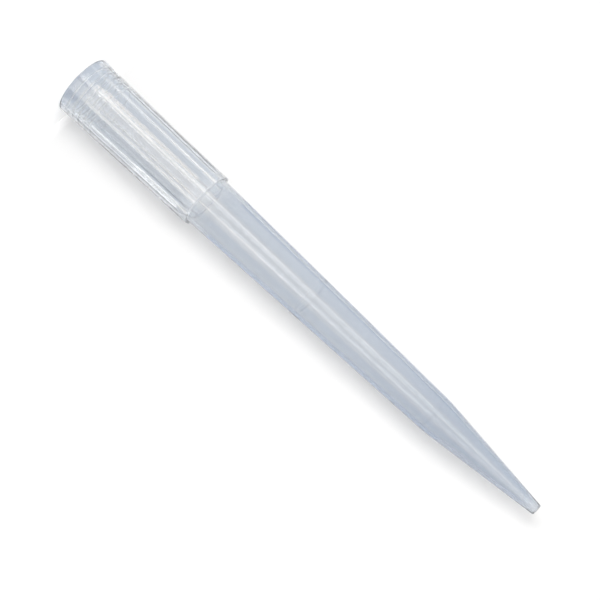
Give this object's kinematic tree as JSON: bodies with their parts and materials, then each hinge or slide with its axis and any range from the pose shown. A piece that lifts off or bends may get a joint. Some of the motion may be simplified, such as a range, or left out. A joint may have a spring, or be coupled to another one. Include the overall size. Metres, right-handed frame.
{
  "type": "pipette tip",
  "caption": "Slender translucent plastic pipette tip with a ribbed clear collar, inner seal rings, graduation rings and a fine orifice.",
  "frame": {"origin": "centre of the collar's rim, on the plane that the tip stands on", "axes": "+Z along the tip's axis, from the rim of the collar to the orifice; +X through one of the collar's ribs"},
  "size_m": [0.0088, 0.0088, 0.084],
  "materials": {
    "polypropylene": "clear glossy collar, translucent satin body"
  },
  "bodies": {
    "root": {"pipette_tip": "polypropylene"}
  },
  "joints": []
}
